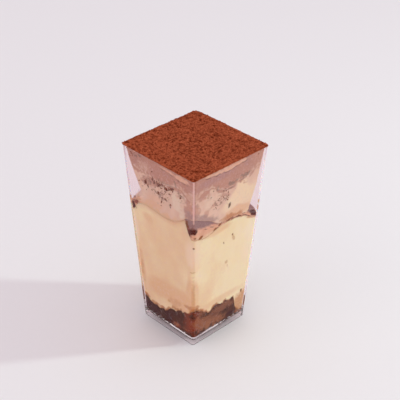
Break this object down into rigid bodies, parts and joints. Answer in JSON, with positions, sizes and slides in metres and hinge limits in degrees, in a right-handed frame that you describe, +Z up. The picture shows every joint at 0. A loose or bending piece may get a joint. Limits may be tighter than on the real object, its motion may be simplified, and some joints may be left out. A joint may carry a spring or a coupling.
{
  "type": "tiramisu in a dessert cup",
  "caption": "Layered tiramisu in a tall square tapered clear plastic cup: soaked sponge, cream layers and a flat cocoa-dusted top level with the rim.",
  "frame": {"origin": "middle of the cup's underside, on the surface it stands on", "axes": "+Z up; +X and -Y are the two faces whose layers the picture shows, meeting at the upright edge at (+X, -Y)"},
  "size_m": [0.0484, 0.0484, 0.1],
  "materials": {
    "clear_plastic": "clear moulded polystyrene, polished",
    "soaked_sponge": "coffee-soaked sponge, moist and open-grained",
    "cream": "mascarpone cream pressed to the wall, satin",
    "soaked_crumb": "coffee-soaked crumb, wet",
    "cream_pink": "whipped cream flecked with cocoa, satin",
    "stained_cream": "cream stained by cocoa, satin",
    "cocoa": "sifted cocoa powder, dry and matte"
  },
  "bodies": {
    "root": {"cup": "clear_plastic", "sponge_base": "soaked_sponge", "cream_lower": "cream", "soaked_middle": "soaked_crumb", "cream_upper": "cream_pink", "cream_cocoa": "stained_cream", "cocoa_top": "cocoa"}
  },
  "joints": []
}
